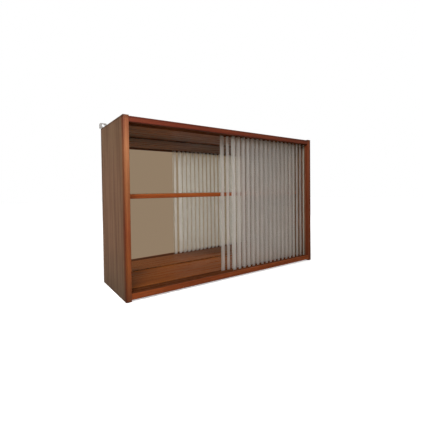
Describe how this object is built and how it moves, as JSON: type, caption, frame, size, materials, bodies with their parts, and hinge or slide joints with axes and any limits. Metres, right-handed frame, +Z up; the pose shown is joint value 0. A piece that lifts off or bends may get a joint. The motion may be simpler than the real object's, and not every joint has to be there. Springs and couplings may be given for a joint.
{
  "type": "mirror cabinet",
  "caption": "Wall-hung wooden cabinet with a mirror back, a loose shelf and frameless sliding glass doors with matt bands, running in grooved tracks.",
  "frame": {"origin": "under the middle of the case, level with the lower ends of the sides", "axes": "+X to the right along the width, +Y from the front to the wall, +Z up"},
  "size_m": [0.809, 0.225, 0.528],
  "materials": {
    "wood_veneer": "satin oiled teak veneer on board",
    "solid_wood": "satin oiled solid teak",
    "track_strip": "solid teak, unoiled and dark, with waxed grooves",
    "banded_glass": "clear, with blasted matt bands",
    "mirror_glass": "silvered glass",
    "back_hardboard": "bare hardboard",
    "zinc_steel": "zinc plated",
    "bare_steel": "bright drawn steel"
  },
  "bodies": {
    "carcass": {"left_side_panel": "wood_veneer", "right_side_panel": "wood_veneer", "left_side_lipping": "solid_wood", "right_side_lipping": "solid_wood", "top_panel": "wood_veneer", "bottom_panel": "wood_veneer", "top_front_rail": "solid_wood", "bottom_front_rail": "solid_wood", "top_door_track": "track_strip", "bottom_door_track": "track_strip", "back_mirror": "mirror_glass", "back_board": "back_hardboard", "shelf_board": "wood_veneer", "shelf_lipping": "solid_wood", "shelf_pins": "bare_steel", "left_hanger_plate": "zinc_steel", "right_hanger_plate": "zinc_steel", "hanger_screws": "zinc_steel", "back_board_nails": "bare_steel"},
    "left_door": {"left_door_glass": "banded_glass"},
    "right_door": {"right_door_glass": "banded_glass"}
  },
  "joints": [
    {"name": "left_door_slide", "type": "slide", "parent": "carcass", "child": "left_door", "axis": [1, 0, 0], "range_m": [-0.335, 0.039]},
    {"name": "right_door_slide", "type": "slide", "parent": "carcass", "child": "right_door", "axis": [1, 0, 0], "range_m": [-0.374, 0]}
  ]
}
